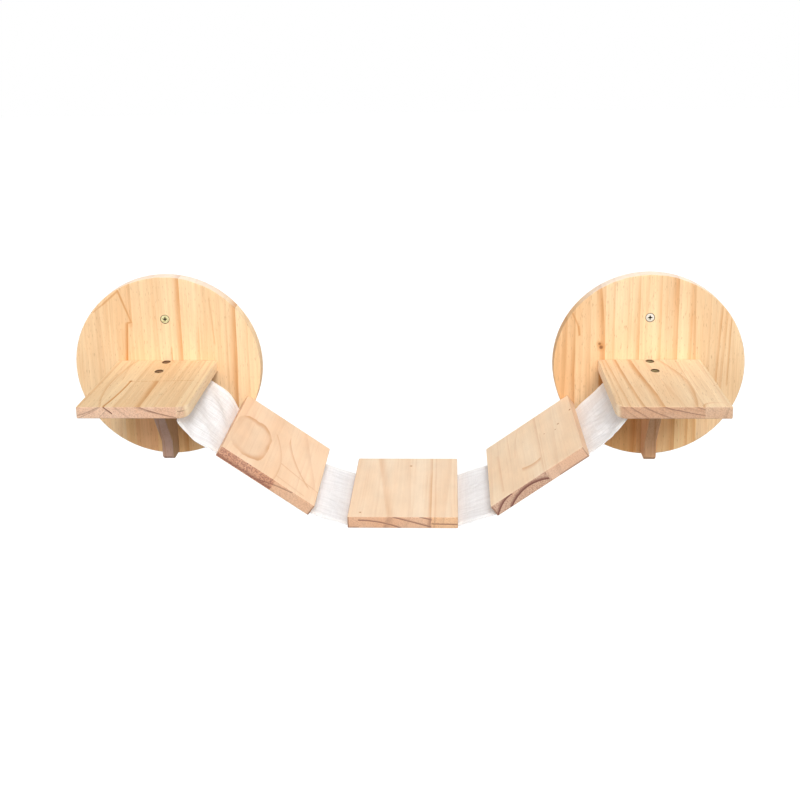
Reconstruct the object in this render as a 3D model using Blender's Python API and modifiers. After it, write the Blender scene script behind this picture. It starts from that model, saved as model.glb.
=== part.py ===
# A wall bridge for cats: two round plates with a braced shelf each, and three wooden
# steps that hang between them on one strip of cloth.
# Metres, +Z up. The wall is the plane Y = 0 and the fronts face -Y. The origin lies on
# the wall, midway between the centres of the two plates.

import math

import bmesh
import bpy
from mathutils import Matrix, Vector

# Round plates on the wall
PLATE_DIAMETER = 0.300
PLATE_THICKNESS = 0.018
PLATE_SIDES = 72

# Shelves and steps, cut from the same width of board
BOARD_DEPTH = 0.170
SHELF_WIDTH = 0.160
SHELF_THICKNESS = 0.018
SHELF_RISE = 0.011  # top of the shelf above the centre of the plate
SHELF_CORNER = 0.015  # radius of the front corner beside the bridge
STEP_LENGTH = 0.160
STEP_THICKNESS = 0.018
EASED_EDGE = 0.001  # sanded edges of every board

# Braces under the shelves
BRACE_THICKNESS = 0.018
BRACE_TOP = 0.088  # along the shelf, out from the plate
BRACE_TOE = 0.030  # depth of the lower end
BRACE_TOE_HEIGHT = 0.034
BRACE_CHAMFER = 0.007
BRACE_MARGIN = 0.003  # from the lower end to the rim of the plate

# Cloth strip and the hang of the bridge
CLOTH_THICKNESS = 0.0015
CLOTH_BACK_INSET = 0.019  # from the back edge of the boards
CLOTH_FRONT_INSET = 0.009
OUTER_SPAN = 0.078  # shelf to outer step
INNER_SPAN = 0.061  # outer step to centre step
INNER_SLOPE = math.radians(19.1)  # inner spans; it sets the plates' spacing
BATTEN_PULL = 0.0013  # how far batten and cloth lower a step's centre of mass
FOLD_TUCK = 0.018  # fold under the shelf, in from the shelf's edge
FOLD_GAP = 0.0005  # bare cloth left each side of a fold line
SPAN_CELLS_ALONG = 12
SPAN_CELLS_ACROSS = 14

# Battens that clamp the cloth
BATTEN_WIDTH = 0.030
BATTEN_THICKNESS = 0.006
BATTEN_SETBACK = 0.010  # in from each edge of the cloth
SHELF_BATTEN_OFFSET = 0.002  # from the fold line to the batten
TAIL_BEYOND = 0.002  # cloth past the far side of the shelf's batten

# Screws
WALL_SCREW_HEAD = 0.013
WALL_SCREW_SHANK = 0.006
WALL_SCREW_LENGTH = 0.060
UPPER_SCREW_RISE = 0.080  # above the centre of the plate
LOWER_SCREW_DROP = 0.036
LOWER_SCREW_SPREAD = 0.084  # between the two lower screws
SHELF_SCREW_HEAD = 0.009
SHELF_SCREW_SHANK = 0.0045
SHELF_SCREW_LENGTH = 0.045
SHELF_SCREW_SINK = 0.0055  # depth of the counterbore
SHELF_SCREW_BORE = 0.0116
SHELF_SCREW_REAR = 0.0075  # from the front of the plate
SHELF_SCREW_FRONT = 0.0444
PLATE_SCREW_HEAD = 0.008
PLATE_SCREW_SHANK = 0.004
PLATE_SCREW_LENGTH = 0.050
PLATE_SCREW_SPREAD = 0.110  # between the two screws into the shelf
BRACE_SCREW_UPPER = 0.060  # below the centre of the plate
BRACE_SCREW_LOWER = 0.022  # above the lower end of the brace
BATTEN_SCREW_HEAD = 0.007
BATTEN_SCREW_SHANK = 0.0035
BATTEN_SCREW_SETBACK = 0.022  # from each end of the batten
FLUSH_SINK = 0.0003  # heads lie this far below the wood
END_COVER = 0.008  # wood left past the tip of a screw
SCREW_SIDES = 8
SHELF_SCREW_SIDES = 12
WALL_SCREW_SIDES = 16

# Gap between pieces that touch, and how far a cutter runs past a surface
GAP = 0.0003
OVERCUT = 0.002

PARTS_NAME = "wall_bridge"
CUTTERS_NAME = "cutters"

# Colours are linear; roughness from a dry, sanded surface
FINISHES = {
    "plate_pine": ((0.80, 0.53, 0.27), 0.62, 0.0),
    "shelf_pine": ((0.78, 0.51, 0.28), 0.62, 0.0),
    "step_pine": ((0.80, 0.55, 0.33), 0.62, 0.0),
    "brace_pine": ((0.44, 0.30, 0.20), 0.70, 0.0),
    "batten_pine": ((0.72, 0.50, 0.30), 0.70, 0.0),
    "white_cloth": ((0.86, 0.85, 0.85), 0.90, 0.0),
    "pale_brass": ((0.80, 0.76, 0.55), 0.32, 1.0),
    "zinc_steel": ((0.55, 0.55, 0.57), 0.40, 1.0),
}

# Places that follow from the sizes above
BOARD_BACK = -(PLATE_THICKNESS + GAP)
BOARD_MIDDLE = BOARD_BACK - BOARD_DEPTH / 2
SHELF_UNDERSIDE = SHELF_RISE - SHELF_THICKNESS
CLOTH_BACK = BOARD_BACK - CLOTH_BACK_INSET
CLOTH_WIDTH = BOARD_DEPTH - CLOTH_BACK_INSET - CLOTH_FRONT_INSET
CLOTH_MIDDLE = CLOTH_BACK - CLOTH_WIDTH / 2
CLOTH_DROP = GAP + CLOTH_THICKNESS / 2  # underside of a board to the fold line
BATTEN_TOP_DROP = GAP + CLOTH_THICKNESS + GAP
BATTEN_DROP = BATTEN_TOP_DROP + BATTEN_THICKNESS
BATTEN_LENGTH = CLOTH_WIDTH - 2 * BATTEN_SETBACK
BRACE_TOP_LEVEL = SHELF_UNDERSIDE - GAP
BRACE_BOTTOM = -(PLATE_DIAMETER / 2 - BRACE_MARGIN)


def start_afresh():
    for obj in list(bpy.context.scene.objects):
        bpy.data.objects.remove(obj, do_unlink=True)
    for name in (PARTS_NAME, CUTTERS_NAME):
        collection = bpy.data.collections.new(name)
        bpy.context.scene.collection.children.link(collection)


def make_finish(name):
    colour, roughness, metallic = FINISHES[name]
    finish = bpy.data.materials.new(name)
    finish.use_nodes = True
    shader = finish.node_tree.nodes["Principled BSDF"]
    shader.inputs["Base Color"].default_value = (*colour, 1.0)
    shader.inputs["Roughness"].default_value = roughness
    shader.inputs["Metallic"].default_value = metallic
    return finish


def finish_named(name):
    return bpy.data.materials.get(name) or make_finish(name)


# A frame is a matrix on the assembly; a piece is placed by its frame and its pivot.
def add_piece(name, mesh, finish, frame=None, pivot=None):
    piece = bpy.data.objects.new(name, mesh)
    bpy.data.collections[PARTS_NAME].objects.link(piece)
    if finish not in mesh.materials:
        mesh.materials.append(finish_named(finish))
    place(piece, frame or Matrix(), pivot)
    return piece


def place(piece, frame, pivot):
    if pivot is not None:
        piece.parent = pivot
        frame = Matrix.Translation(-world_place(pivot)) @ frame
    piece.location = frame.to_translation()
    piece.rotation_euler = frame.to_euler()


def world_place(pivot):
    spot = Vector(pivot.location)
    if pivot.parent is not None:
        spot += world_place(pivot.parent)
    return spot


def add_pivot(name, spot, parent=None):
    pivot = bpy.data.objects.new(name, None)
    pivot.empty_display_type = "ARROWS"
    pivot.empty_display_size = 0.03
    bpy.data.collections[PARTS_NAME].objects.link(pivot)
    place(pivot, Matrix.Translation(spot), parent)
    return pivot


def add_cutter(name, mesh, frame, pivot=None):
    cutter = bpy.data.objects.new(name, mesh)
    bpy.data.collections[CUTTERS_NAME].objects.link(cutter)
    cutter.hide_render = True
    cutter.display_type = "WIRE"
    place(cutter, frame, pivot)
    return cutter


def cut(piece, cutter):
    boolean = piece.modifiers.new(cutter.name, "BOOLEAN")
    boolean.operation = "DIFFERENCE"
    boolean.solver = "EXACT"
    boolean.object = cutter


def ease_edges(piece):
    bevel = piece.modifiers.new("eased edges", "BEVEL")
    bevel.width = EASED_EDGE
    bevel.segments = 1
    bevel.limit_method = "ANGLE"
    bevel.angle_limit = math.radians(30)


def baked_mesh(obj, name):
    graph = bpy.context.evaluated_depsgraph_get()
    mesh = bpy.data.meshes.new_from_object(obj.evaluated_get(graph), depsgraph=graph)
    mesh.name = name
    return mesh


def smooth_round(mesh):
    mesh.shade_smooth()
    mesh.set_sharp_from_angle(angle=math.radians(35))


# Square board of the given size, centred on its frame
def box_mesh(name, size, corner=None):
    shape = bmesh.new()
    bmesh.ops.create_cube(shape, size=1.0)
    bmesh.ops.scale(shape, vec=Vector(size), verts=shape.verts)
    if corner is not None:
        round_corner(shape, *corner)
    mesh = bpy.data.meshes.new(name)
    shape.to_mesh(mesh)
    shape.free()
    return mesh


# Rounds the upright edge on the front, at the side given by its sign
def round_corner(shape, side, radius):
    upright = []
    for edge in shape.edges:
        a, b = (vert.co for vert in edge.verts)
        stands = abs(a.x - b.x) < GAP and abs(a.y - b.y) < GAP
        if stands and a.x * side > 0 and a.y < 0:
            upright.append(edge)
    bmesh.ops.bevel(shape, geom=upright, offset=radius, offset_type="OFFSET",
                    segments=6, profile=0.5, affect="EDGES", clamp_overlap=True)


# Flat outline in X and Y, filled and given a thickness along Z, as a closed mesh
def outline_mesh(name, points, thickness):
    curve = bpy.data.curves.new(name, "CURVE")
    curve.dimensions = "2D"
    curve.fill_mode = "BOTH"
    curve.extrude = thickness / 2
    spline = curve.splines.new("POLY")
    spline.points.add(len(points) - 1)
    for point, (x, y) in zip(spline.points, points):
        point.co = (x, y, 0.0, 1.0)
    spline.use_cyclic_u = True
    holder = bpy.data.objects.new(name, curve)
    bpy.context.scene.collection.objects.link(holder)
    bpy.context.view_layer.update()
    mesh = baked_mesh(holder, name)
    bpy.data.objects.remove(holder, do_unlink=True)
    shape = bmesh.new()
    shape.from_mesh(mesh)
    bmesh.ops.remove_doubles(shape, verts=shape.verts, dist=1e-6)
    shape.to_mesh(mesh)
    shape.free()
    return mesh


# Solid of revolution about Z; the profile runs down its outer side from the top
def turned_mesh(name, profile, sides, recess=None):
    outline = bpy.data.meshes.new(name + "_profile")
    edges = [(i, i + 1) for i in range(len(profile) - 1)]
    outline.from_pydata([(x, 0.0, z) for x, z in profile], edges, [])
    holder = bpy.data.objects.new(name, outline)
    bpy.context.scene.collection.objects.link(holder)
    turn = holder.modifiers.new("turn", "SCREW")
    turn.steps = sides
    turn.render_steps = sides
    turn.use_merge_vertices = True
    turn.merge_threshold = 1e-5
    if recess is not None:
        cut(holder, recess)
    bpy.context.view_layer.update()
    mesh = baked_mesh(holder, name)
    bpy.data.objects.remove(holder, do_unlink=True)
    smooth_round(mesh)
    return mesh


# Cross-shaped recess that a driver turns
def recess_cutter(name, head):
    arm = 0.27 * head
    root = 0.08 * head
    tip = 0.06 * head  # the arms taper outwards
    quarter = [(arm, -tip), (arm, tip), (root, root)]
    points = []
    for turn in range(4):
        c, s = round(math.cos(turn * math.pi / 2)), round(math.sin(turn * math.pi / 2))
        points += [(c * x - s * y, s * x + c * y) for x, y in quarter]
    mesh = outline_mesh(name, points, 0.5 * head)
    return add_cutter(name, mesh, Matrix())


# One kind of countersunk screw: its own mesh and the mesh of the hole that it needs.
# Its head lies at the frame's origin and its tip points down -Z.
def make_screw_kind(name, head, shank, length, sink, sides, finish, bore=None):
    rim = 0.05 * head
    cone_end = rim + (head - shank) / 2
    profile = [(0, 0), (head / 2, 0), (head / 2, -rim), (shank / 2, -cone_end),
               (shank / 2, -(length - shank)), (0, -length)]
    recess = recess_cutter(name + "_recess", head)
    mesh = turned_mesh(name, profile, sides, recess)
    mouth = (bore or head) / 2 + (0 if bore else GAP)
    top = sink + OVERCUT
    hole = [(0, top), (mouth, top), (mouth, 0)]
    if bore:
        hole.append((head / 2 + GAP, 0))
    hole += [(head / 2 + GAP, -rim), (shank / 2 + GAP, -cone_end),
             (shank / 2 + GAP, -(length - shank)), (0, -length - 2 * GAP)]
    hole_mesh = turned_mesh(name + "_hole", hole, sides)
    return {"mesh": mesh, "hole": hole_mesh, "sink": sink, "finish": finish}


# Drives a screw into the pieces, heading for the given direction from its place on a face
def drive_screw(kind, name, face_spot, direction, pieces, frame=None, pivot=None):
    direction = Vector(direction).normalized()
    spot = Vector(face_spot) + direction * kind["sink"]
    turn = direction.to_track_quat("-Z", "Y").to_matrix().to_4x4()
    screw_frame = (frame or Matrix()) @ Matrix.Translation(spot) @ turn
    add_piece(name, kind["mesh"], kind["finish"], screw_frame, pivot)
    cutter = add_cutter(name + "_hole", kind["hole"], screw_frame, pivot)
    for piece in pieces:
        cut(piece, cutter)


def make_plate(name, x):
    shape = bmesh.new()
    bmesh.ops.create_cone(shape, cap_ends=True, segments=PLATE_SIDES,
                          radius1=PLATE_DIAMETER / 2, radius2=PLATE_DIAMETER / 2,
                          depth=PLATE_THICKNESS)
    mesh = bpy.data.meshes.new(name)
    shape.to_mesh(mesh)
    shape.free()
    smooth_round(mesh)
    lie = Matrix.Rotation(math.radians(90), 4, "X")
    frame = Matrix.Translation((x, -PLATE_THICKNESS / 2, 0)) @ lie
    plate = add_piece(name, mesh, "plate_pine", frame)
    ease_edges(plate)
    return plate


def make_shelf(name, x, inner):
    size = (SHELF_WIDTH, BOARD_DEPTH, SHELF_THICKNESS)
    mesh = box_mesh(name, size, corner=(inner, SHELF_CORNER))
    middle = SHELF_RISE - SHELF_THICKNESS / 2
    frame = Matrix.Translation((x, BOARD_MIDDLE, middle))
    shelf = add_piece(name, mesh, "shelf_pine", frame)
    ease_edges(shelf)
    return shelf


# Side outline of a brace: X out from the plate, Y up
def make_brace(name, x):
    toe_top = BRACE_BOTTOM + BRACE_TOE_HEIGHT
    points = [(0, BRACE_TOP_LEVEL), (0, BRACE_BOTTOM),
              (BRACE_TOE - BRACE_CHAMFER, BRACE_BOTTOM),
              (BRACE_TOE, BRACE_BOTTOM + BRACE_CHAMFER),
              (BRACE_TOE, toe_top), (BRACE_TOP, BRACE_TOP_LEVEL)]
    mesh = outline_mesh(name, points, BRACE_THICKNESS)
    stand = Matrix(((0, 0, 1), (-1, 0, 0), (0, 1, 0))).to_4x4()
    frame = Matrix.Translation((x, BOARD_BACK, 0)) @ stand
    brace = add_piece(name, mesh, "brace_pine", frame)
    ease_edges(brace)
    return brace


# Flat cloth panel under a board, from one X to another in the board's frame
def make_panel(name, start, end, frame, pivot=None):
    mesh = box_mesh(name, (end - start, CLOTH_WIDTH, CLOTH_THICKNESS))
    spot = Matrix.Translation(((start + end) / 2, CLOTH_MIDDLE, -CLOTH_DROP))
    return add_piece(name, mesh, "white_cloth", frame @ spot, pivot)


# Batten under the cloth with its two screws, centred at X in the board's frame
def make_batten(prefix, x, frame, board, panel, kind, pivot=None):
    name = prefix + "_batten"
    mesh = box_mesh(name, (BATTEN_WIDTH, BATTEN_LENGTH, BATTEN_THICKNESS))
    level = -BATTEN_TOP_DROP - BATTEN_THICKNESS / 2
    spot = Matrix.Translation((x, CLOTH_MIDDLE, level))
    batten = add_piece(name, mesh, "batten_pine", frame @ spot, pivot)
    ease_edges(batten)
    reach = BATTEN_LENGTH / 2 - BATTEN_SCREW_SETBACK
    for end, side in (("front", -1), ("rear", 1)):
        head = (x, CLOTH_MIDDLE + side * reach, -BATTEN_DROP)
        drive_screw(kind, f"{name}_screw_{end}", head, (0, 0, 1),
                    (batten, panel, board), frame, pivot)


# Bow of a hanging span at a place along it (0 to 1, left to right) and across it
# (0 at the back, 1 at the front), above the straight line between its ends
def span_bow(along, across, bows, folds, left_end_high):
    run = along if left_end_high else 1 - along
    hang = math.sin(math.pi * along)
    back, front = bows
    depth, count, lean = folds
    ripple = depth * math.sin(2 * math.pi * count * (across - lean * run))
    return hang * (back + (front - back) * across + ripple)


def make_span(name, start, end, bows, folds, pivot):
    line = Vector((end[0] - start[0], 0, end[1] - start[1]))
    slope = math.atan2(-line.z, line.x)
    clear = line.length - 2 * FOLD_GAP
    shape = bmesh.new()
    bmesh.ops.create_grid(shape, x_segments=SPAN_CELLS_ALONG,
                          y_segments=SPAN_CELLS_ACROSS, size=0.5)
    for vert in shape.verts:
        along = vert.co.x + 0.5
        across = 0.5 - vert.co.y
        bow = span_bow(along, across, bows, folds, slope > 0)
        vert.co = (FOLD_GAP + along * clear, -across * CLOTH_WIDTH, bow)
    mesh = bpy.data.meshes.new(name)
    shape.to_mesh(mesh)
    shape.free()
    mesh.shade_smooth()
    turn = Matrix.Rotation(slope, 4, "Y")
    frame = Matrix.Translation((start[0], CLOTH_BACK, start[1])) @ turn
    span = add_piece(name, mesh, "white_cloth", frame, pivot)
    wall = span.modifiers.new("cloth", "SOLIDIFY")
    wall.thickness = CLOTH_THICKNESS
    wall.offset = 0.0
    return span


# Slopes at which the spans and the outer steps hang at rest, from the balance of the
# three equal steps. The steps' weight sits above the fold lines and tips the outer
# ones a little further.
def hanging_slopes():
    rise = math.tan(INNER_SLOPE)
    lift = CLOTH_DROP + STEP_THICKNESS / 2 - BATTEN_PULL
    step = math.atan(2 * rise / (1 - 2 * rise * lift / STEP_LENGTH))
    outer = math.atan(3 * rise)
    return outer, step


# Fold lines of the left half in X and Z, seen from the front
def left_folds():
    outer, step = hanging_slopes()
    centre_half = STEP_LENGTH / 2
    reach = (OUTER_SPAN * math.cos(outer) + STEP_LENGTH * math.cos(step)
             + INNER_SPAN * math.cos(INNER_SLOPE) + centre_half)
    shelf_fold = (-reach, SHELF_UNDERSIDE - CLOTH_DROP)
    step_high = down_from(shelf_fold, OUTER_SPAN, outer)
    step_low = down_from(step_high, STEP_LENGTH, step)
    centre = down_from(step_low, INNER_SPAN, INNER_SLOPE)
    return shelf_fold, step_high, step_low, centre


def down_from(point, length, slope):
    return (point[0] + length * math.cos(slope), point[1] - length * math.sin(slope))


def mirrored(point):
    return (-point[0], point[1])


def make_station(name, side, fold_x, kinds):
    x = fold_x + side * (SHELF_WIDTH / 2 - FOLD_TUCK)
    inner = -side
    plate = make_plate(name + "_back_plate", x)
    shelf = make_shelf(name + "_shelf", x, inner)
    brace = make_brace(name + "_brace", x)
    fix_to_wall(name, x, side, plate, kinds["wall"])
    fix_shelf(name, x, side, plate, shelf, brace, kinds)
    frame = Matrix.Translation((0, 0, SHELF_UNDERSIDE))
    batten_x = fold_x + side * (SHELF_BATTEN_OFFSET + BATTEN_WIDTH / 2)
    tail_end = batten_x + side * (BATTEN_WIDTH / 2 + TAIL_BEYOND)
    ends = sorted((fold_x + side * FOLD_GAP, tail_end))
    tail = make_panel(name + "_cloth_tail", *ends, frame)
    make_batten(name + "_cloth", batten_x, frame, shelf, tail, kinds["batten"])


def fix_to_wall(name, x, side, plate, kind):
    front = -PLATE_THICKNESS
    reach = LOWER_SCREW_SPREAD / 2
    spots = (("upper", 0, UPPER_SCREW_RISE),
             ("lower_outer", side * reach, -LOWER_SCREW_DROP),
             ("lower_inner", -side * reach, -LOWER_SCREW_DROP))
    for label, across, up in spots:
        drive_screw(kind, f"{name}_wall_screw_{label}", (x + across, front, up),
                    (0, 1, 0), (plate,))


def fix_shelf(name, x, side, plate, shelf, brace, kinds):
    for label, out in (("rear", SHELF_SCREW_REAR), ("front", SHELF_SCREW_FRONT)):
        head = (x, -PLATE_THICKNESS - out, SHELF_RISE)
        drive_screw(kinds["shelf"], f"{name}_shelf_screw_{label}", head, (0, 0, -1),
                    (shelf, brace))
    middle = SHELF_RISE - SHELF_THICKNESS / 2
    for label, way in (("outer", side), ("inner", -side)):
        head = (x + way * PLATE_SCREW_SPREAD / 2, 0, middle)
        drive_screw(kinds["plate"], f"{name}_plate_screw_{label}", head, (0, -1, 0),
                    (plate, shelf))
    levels = (("upper", -BRACE_SCREW_UPPER), ("lower", BRACE_BOTTOM + BRACE_SCREW_LOWER))
    for label, level in levels:
        drive_screw(kinds["brace"], f"{name}_brace_screw_{label}", (x, 0, level),
                    (0, -1, 0), (plate, brace))


def make_step(name, start, end, kind, pivot):
    line = Vector((end[0] - start[0], 0, end[1] - start[1]))
    turn = Matrix.Rotation(math.atan2(-line.z, line.x), 4, "Y")
    fold_middle = Vector(((start[0] + end[0]) / 2, 0, (start[1] + end[1]) / 2))
    frame = Matrix.Translation(fold_middle) @ turn @ Matrix.Translation((0, 0, CLOTH_DROP))
    mesh = box_mesh(name, (STEP_LENGTH, BOARD_DEPTH, STEP_THICKNESS))
    spot = Matrix.Translation((0, BOARD_MIDDLE, STEP_THICKNESS / 2))
    board = add_piece(name, mesh, "step_pine", frame @ spot, pivot)
    ease_edges(board)
    reach = STEP_LENGTH / 2 - FOLD_GAP
    panel = make_panel(name + "_cloth", -reach, reach, frame, pivot)
    make_batten(name, 0, frame, board, panel, kind, pivot)


def make_screw_kinds():
    batten_length = (BATTEN_DROP - FLUSH_SINK
                     + min(SHELF_THICKNESS, STEP_THICKNESS) - END_COVER)
    brace_length = PLATE_THICKNESS + GAP - FLUSH_SINK + BRACE_TOE - END_COVER
    return {
        "wall": make_screw_kind("wall_screw", WALL_SCREW_HEAD, WALL_SCREW_SHANK,
                                WALL_SCREW_LENGTH, FLUSH_SINK, WALL_SCREW_SIDES,
                                "pale_brass"),
        "shelf": make_screw_kind("shelf_screw", SHELF_SCREW_HEAD, SHELF_SCREW_SHANK,
                                 SHELF_SCREW_LENGTH, SHELF_SCREW_SINK, SHELF_SCREW_SIDES,
                                 "zinc_steel", bore=SHELF_SCREW_BORE),
        "plate": make_screw_kind("plate_screw", PLATE_SCREW_HEAD, PLATE_SCREW_SHANK,
                                 PLATE_SCREW_LENGTH, FLUSH_SINK, SCREW_SIDES,
                                 "zinc_steel"),
        "brace": make_screw_kind("brace_screw", PLATE_SCREW_HEAD, PLATE_SCREW_SHANK,
                                 brace_length, FLUSH_SINK, SCREW_SIDES, "zinc_steel"),
        "batten": make_screw_kind("batten_screw", BATTEN_SCREW_HEAD, BATTEN_SCREW_SHANK,
                                  batten_length, FLUSH_SINK, SCREW_SIDES, "zinc_steel"),
    }


# Bows at the back and the front edge, then depth, count and lean of the folds
SPAN_FORMS = {
    "left_outer": ((0.0075, -0.0070), (0.0016, 2.5, 0.45)),
    "left_inner": ((0.0012, -0.0010), (0.0006, 2.0, 0.30)),
    "right_inner": ((-0.0008, 0.0010), (0.0006, 2.0, 0.20)),
    "right_outer": ((0.0006, -0.0050), (0.0009, 2.5, 0.30)),
}


def make_bridge():
    start_afresh()
    kinds = make_screw_kinds()
    a, p, q, r = left_folds()
    b, p2, q2, r2 = (mirrored(point) for point in (a, p, q, r))
    make_station("left", -1, a[0], kinds)
    make_station("right", 1, b[0], kinds)
    left_arm = add_pivot("left_arm_pivot", (a[0], CLOTH_MIDDLE, a[1]))
    centre = add_pivot("centre_pivot", (q[0], CLOTH_MIDDLE, q[1]), left_arm)
    right_arm = add_pivot("right_arm_pivot", (b[0], CLOTH_MIDDLE, b[1]))
    make_span("left_outer_cloth", a, p, *SPAN_FORMS["left_outer"], left_arm)
    make_step("left_step", p, q, kinds["batten"], left_arm)
    make_span("left_inner_cloth", q, r, *SPAN_FORMS["left_inner"], centre)
    make_step("centre_step", r, r2, kinds["batten"], centre)
    make_span("right_inner_cloth", r2, q2, *SPAN_FORMS["right_inner"], centre)
    make_step("right_step", q2, p2, kinds["batten"], right_arm)
    make_span("right_outer_cloth", p2, b, *SPAN_FORMS["right_outer"], right_arm)
    for label, point in zip("A P Q R".split(), (a, p, q, r)):
        print(f"fold {label} at x {point[0] * 1000:.2f} z {point[1] * 1000:.2f} mm")


make_bridge()
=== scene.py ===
import math
import bmesh
import bpy
from mathutils import Euler, Matrix, Vector, noise
from types import SimpleNamespace


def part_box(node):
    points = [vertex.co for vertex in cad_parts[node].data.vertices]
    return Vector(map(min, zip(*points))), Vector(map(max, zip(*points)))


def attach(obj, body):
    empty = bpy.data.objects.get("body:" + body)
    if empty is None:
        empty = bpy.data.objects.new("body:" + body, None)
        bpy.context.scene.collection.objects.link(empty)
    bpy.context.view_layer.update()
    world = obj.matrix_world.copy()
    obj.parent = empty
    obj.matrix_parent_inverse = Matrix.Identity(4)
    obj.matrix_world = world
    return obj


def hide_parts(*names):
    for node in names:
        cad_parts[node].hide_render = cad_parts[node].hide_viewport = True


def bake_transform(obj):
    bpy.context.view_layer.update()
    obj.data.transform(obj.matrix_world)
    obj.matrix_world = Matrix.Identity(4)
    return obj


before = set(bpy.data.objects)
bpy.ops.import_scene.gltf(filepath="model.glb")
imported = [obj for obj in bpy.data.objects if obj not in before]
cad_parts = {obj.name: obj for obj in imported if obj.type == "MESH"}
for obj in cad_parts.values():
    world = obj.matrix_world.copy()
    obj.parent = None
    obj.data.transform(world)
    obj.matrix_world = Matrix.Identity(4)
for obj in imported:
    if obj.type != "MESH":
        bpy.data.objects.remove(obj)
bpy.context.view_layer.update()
mm = 0.001
print("frame loaded:", len(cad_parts), "nodes")


def feed(tree, socket, value):
    if isinstance(value, bpy.types.NodeSocket):
        tree.links.new(value, socket)
    elif value is not None:
        socket.default_value = value


def addNode(tree, kind, inputs=None, **settings):
    node = tree.nodes.new(kind)
    for name, value in settings.items():
        setattr(node, name, value)
    for name, value in (inputs or {}).items():
        feed(tree, node.inputs[name], value)
    return node


def reckon(tree, operation, *values):
    return addNode(tree, "ShaderNodeMath", dict(enumerate(values)), operation=operation).outputs[0]


def times(tree, first, second):
    return reckon(tree, "MULTIPLY", first, second)


def timesPlus(tree, first, second, added):
    return reckon(tree, "MULTIPLY_ADD", first, second, added)


def larger(tree, first, second):
    return reckon(tree, "MAXIMUM", first, second)


def minus(tree, first, second):
    return reckon(tree, "SUBTRACT", first, second)


def vectorMath(tree, operation, *values, output=0):
    node = addNode(tree, "ShaderNodeVectorMath", dict(enumerate(values)), operation=operation)
    return node.outputs[output]


def remap(tree, value, low, high, toLow=0.0, toHigh=1.0, kind="SMOOTHSTEP"):
    inputs = {"Value": value, "From Min": low, "From Max": high, "To Min": toLow, "To Max": toHigh}
    return addNode(tree, "ShaderNodeMapRange", inputs, interpolation_type=kind).outputs["Result"]


def stretched(tree, place, scale, shift=0.0):
    # the place with each direction drawn out by its own amount, so that noise turns into fibres
    return vectorMath(tree, "MULTIPLY_ADD", place, scale, (shift, shift * 0.7, shift * 1.3))


def grainNoise(tree, place, scale, shift=0.0, detail=2.0, output="Fac", roughness=0.5):
    inputs = {"Vector": stretched(tree, place, scale, shift), "Scale": 1.0, "Detail": detail,
              "Roughness": roughness}
    return addNode(tree, "ShaderNodeTexNoise", inputs).outputs[output]


def blendColours(tree, share, first, second, kind="MIX"):
    node = addNode(tree, "ShaderNodeMix", data_type="RGBA", blend_type=kind)
    feed(tree, node.inputs[0], share)
    feed(tree, node.inputs[6], first)
    feed(tree, node.inputs[7], second)
    return node.outputs[2]


def newFinish(name):
    finish = bpy.data.materials.new(name)
    finish.use_nodes = True
    return finish, finish.node_tree


def setLooks(finish, looks):
    tree = finish.node_tree
    shader = tree.nodes["Principled BSDF"]
    for name, value in looks.items():
        feed(tree, shader.inputs[name], value)
    return finish


def bumpOf(tree, strength, distance, height, under=None):
    inputs = {"Strength": strength, "Distance": distance, "Height": height, "Normal": under}
    return addNode(tree, "ShaderNodeBump", inputs).outputs["Normal"]


# pine: colours as they look in plain light
pineLook = {
    "pale": (0.97, 0.75, 0.46, 1),
    "honey": (0.90, 0.55, 0.27, 1),
    "lateWood": (0.68, 0.31, 0.10, 1),
    "fleck": (0.50, 0.27, 0.13, 1),
    "knot": (0.26, 0.11, 0.05, 1),
    "endLine": (0.20, 0.075, 0.05, 1),
    "grit": (0.36, 0.15, 0.10, 1),
    # sides left to this are darker: duller as sawn wood, with painted shade over that
    "sideLightAndSawn": (0.84, 0.80, 0.80),
    "endTint": (0.84, 0.77, 0.74),
    "wander": 1.6,          # mm that the lines stray from their course
    "streakDepth": 0.08,
    "fibreDepth": 0.09,
    "cloudDepth": 0.02,
    "fleckDepth": 0.50,
    "warmSwing": 0.12,
    "speckle": 0.34,        # of the end grain, where it is rough
    "calmSpeckle": 0.28,    # and elsewhere
    "groove": 0.15,         # how deep dark lines lie in the bump
    "bump": 0.25,
    "bumpDepth": 0.25 * mm,
    "roughness": (0.55, 0.70),
    "shine": 0.12,
}
pastBoard = 999            # mm, beyond the end of any board
belowShelf = (-150, -12)   # mm, the stretch along a plate that its painted shade patches fill

flatTurn = (0.0, 0.0, 0.0)
uprightTurn = (math.pi / 2, 0.0, 0.0)   # grain runs up, thickness runs to the front
stepTilt = math.radians(35.747)


def ring(stave, at, fade, dark, **course):
    return dict(course, stave=stave, at=at, fade=fade, dark=dark)


def line(left, right, at, fade, dark, **course):
    return dict(course, left=left, right=right, at=at, fade=fade, dark=dark)


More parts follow.
